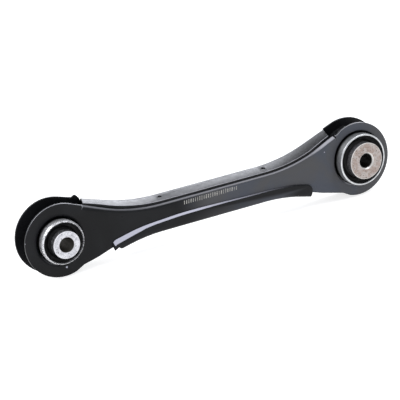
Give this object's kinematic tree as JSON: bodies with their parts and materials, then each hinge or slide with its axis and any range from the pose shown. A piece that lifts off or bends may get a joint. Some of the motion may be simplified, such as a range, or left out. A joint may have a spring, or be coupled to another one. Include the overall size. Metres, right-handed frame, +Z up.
{
  "type": "suspension control arm",
  "caption": "Bone-shaped pressed steel suspension arm made of two folded shells, with a rubber-bonded bush and bolt sleeve in each round eye.",
  "frame": {"origin": "on the ground under the middle of the arm's footprint, with the arm standing on its two rear lobes", "axes": "+X along the arm from the inboard eye to the outboard eye, +Y along both bolts towards the rear shell, +Z up"},
  "size_m": [0.3378, 0.0468, 0.0656],
  "materials": {
    "black_coat": "semi-gloss dipped coat over pressed steel, with a fine orange peel",
    "coated_weld": "black coat over a small plug weld",
    "turned_steel": "bright turned steel tube",
    "ring_steel": "plain steel, bonded in rubber",
    "plated_steel": "pale plated steel with a speckled sawn face",
    "bare_steel": "brownish bare steel with a bright chamfer at the bore",
    "black_rubber": "matt moulded rubber"
  },
  "bodies": {
    "arm": {"front_shell": "black_coat", "rear_shell": "black_coat", "plug_weld_inboard": "coated_weld", "plug_weld_outboard": "coated_weld", "inboard_bush_can": "turned_steel", "outboard_bush_can": "turned_steel"},
    "inboard_cushion": {"inboard_outer_rubber": "black_rubber"},
    "inboard_ring": {"inboard_middle_ring": "ring_steel"},
    "inboard_sleeve": {"inboard_inner_rubber": "black_rubber", "inboard_inner_sleeve": "plated_steel"},
    "outboard_cushion": {"outboard_outer_rubber": "black_rubber"},
    "outboard_ring": {"outboard_middle_ring": "ring_steel"},
    "outboard_sleeve": {"outboard_inner_rubber": "black_rubber", "outboard_inner_sleeve": "bare_steel"}
  },
  "joints": [
    {"name": "inboard_swing", "type": "hinge", "parent": "arm", "child": "inboard_cushion", "pos_m": [-0.13905, 0, 0.03079], "axis": [0, 0, 1], "range_deg": [-4, 4], "stiffness_Nm_per_rad": 150, "deforming": ["inboard_outer_rubber"]},
    {"name": "inboard_tilt", "type": "hinge", "parent": "inboard_cushion", "child": "inboard_ring", "pos_m": [-0.13905, 0, 0.03079], "axis": [1, 0, 0], "range_deg": [-4, 4], "stiffness_Nm_per_rad": 150},
    {"name": "inboard_twist", "type": "hinge", "parent": "inboard_ring", "child": "inboard_sleeve", "pos_m": [-0.13905, 0, 0.03079], "axis": [0, 1, 0], "range_deg": [-20, 20], "stiffness_Nm_per_rad": 60, "deforming": ["inboard_inner_rubber"]},
    {"name": "outboard_swing", "type": "hinge", "parent": "arm", "child": "outboard_cushion", "pos_m": [0.13694, 0, 0.03361], "axis": [0, 0, 1], "range_deg": [-4, 4], "stiffness_Nm_per_rad": 150, "deforming": ["outboard_outer_rubber"]},
    {"name": "outboard_tilt", "type": "hinge", "parent": "outboard_cushion", "child": "outboard_ring", "pos_m": [0.13694, 0, 0.03361], "axis": [1, 0, 0], "range_deg": [-4, 4], "stiffness_Nm_per_rad": 150},
    {"name": "outboard_twist", "type": "hinge", "parent": "outboard_ring", "child": "outboard_sleeve", "pos_m": [0.13694, 0, 0.03361], "axis": [0, 1, 0], "range_deg": [-20, 20], "stiffness_Nm_per_rad": 60, "deforming": ["outboard_inner_rubber"]}
  ]
}
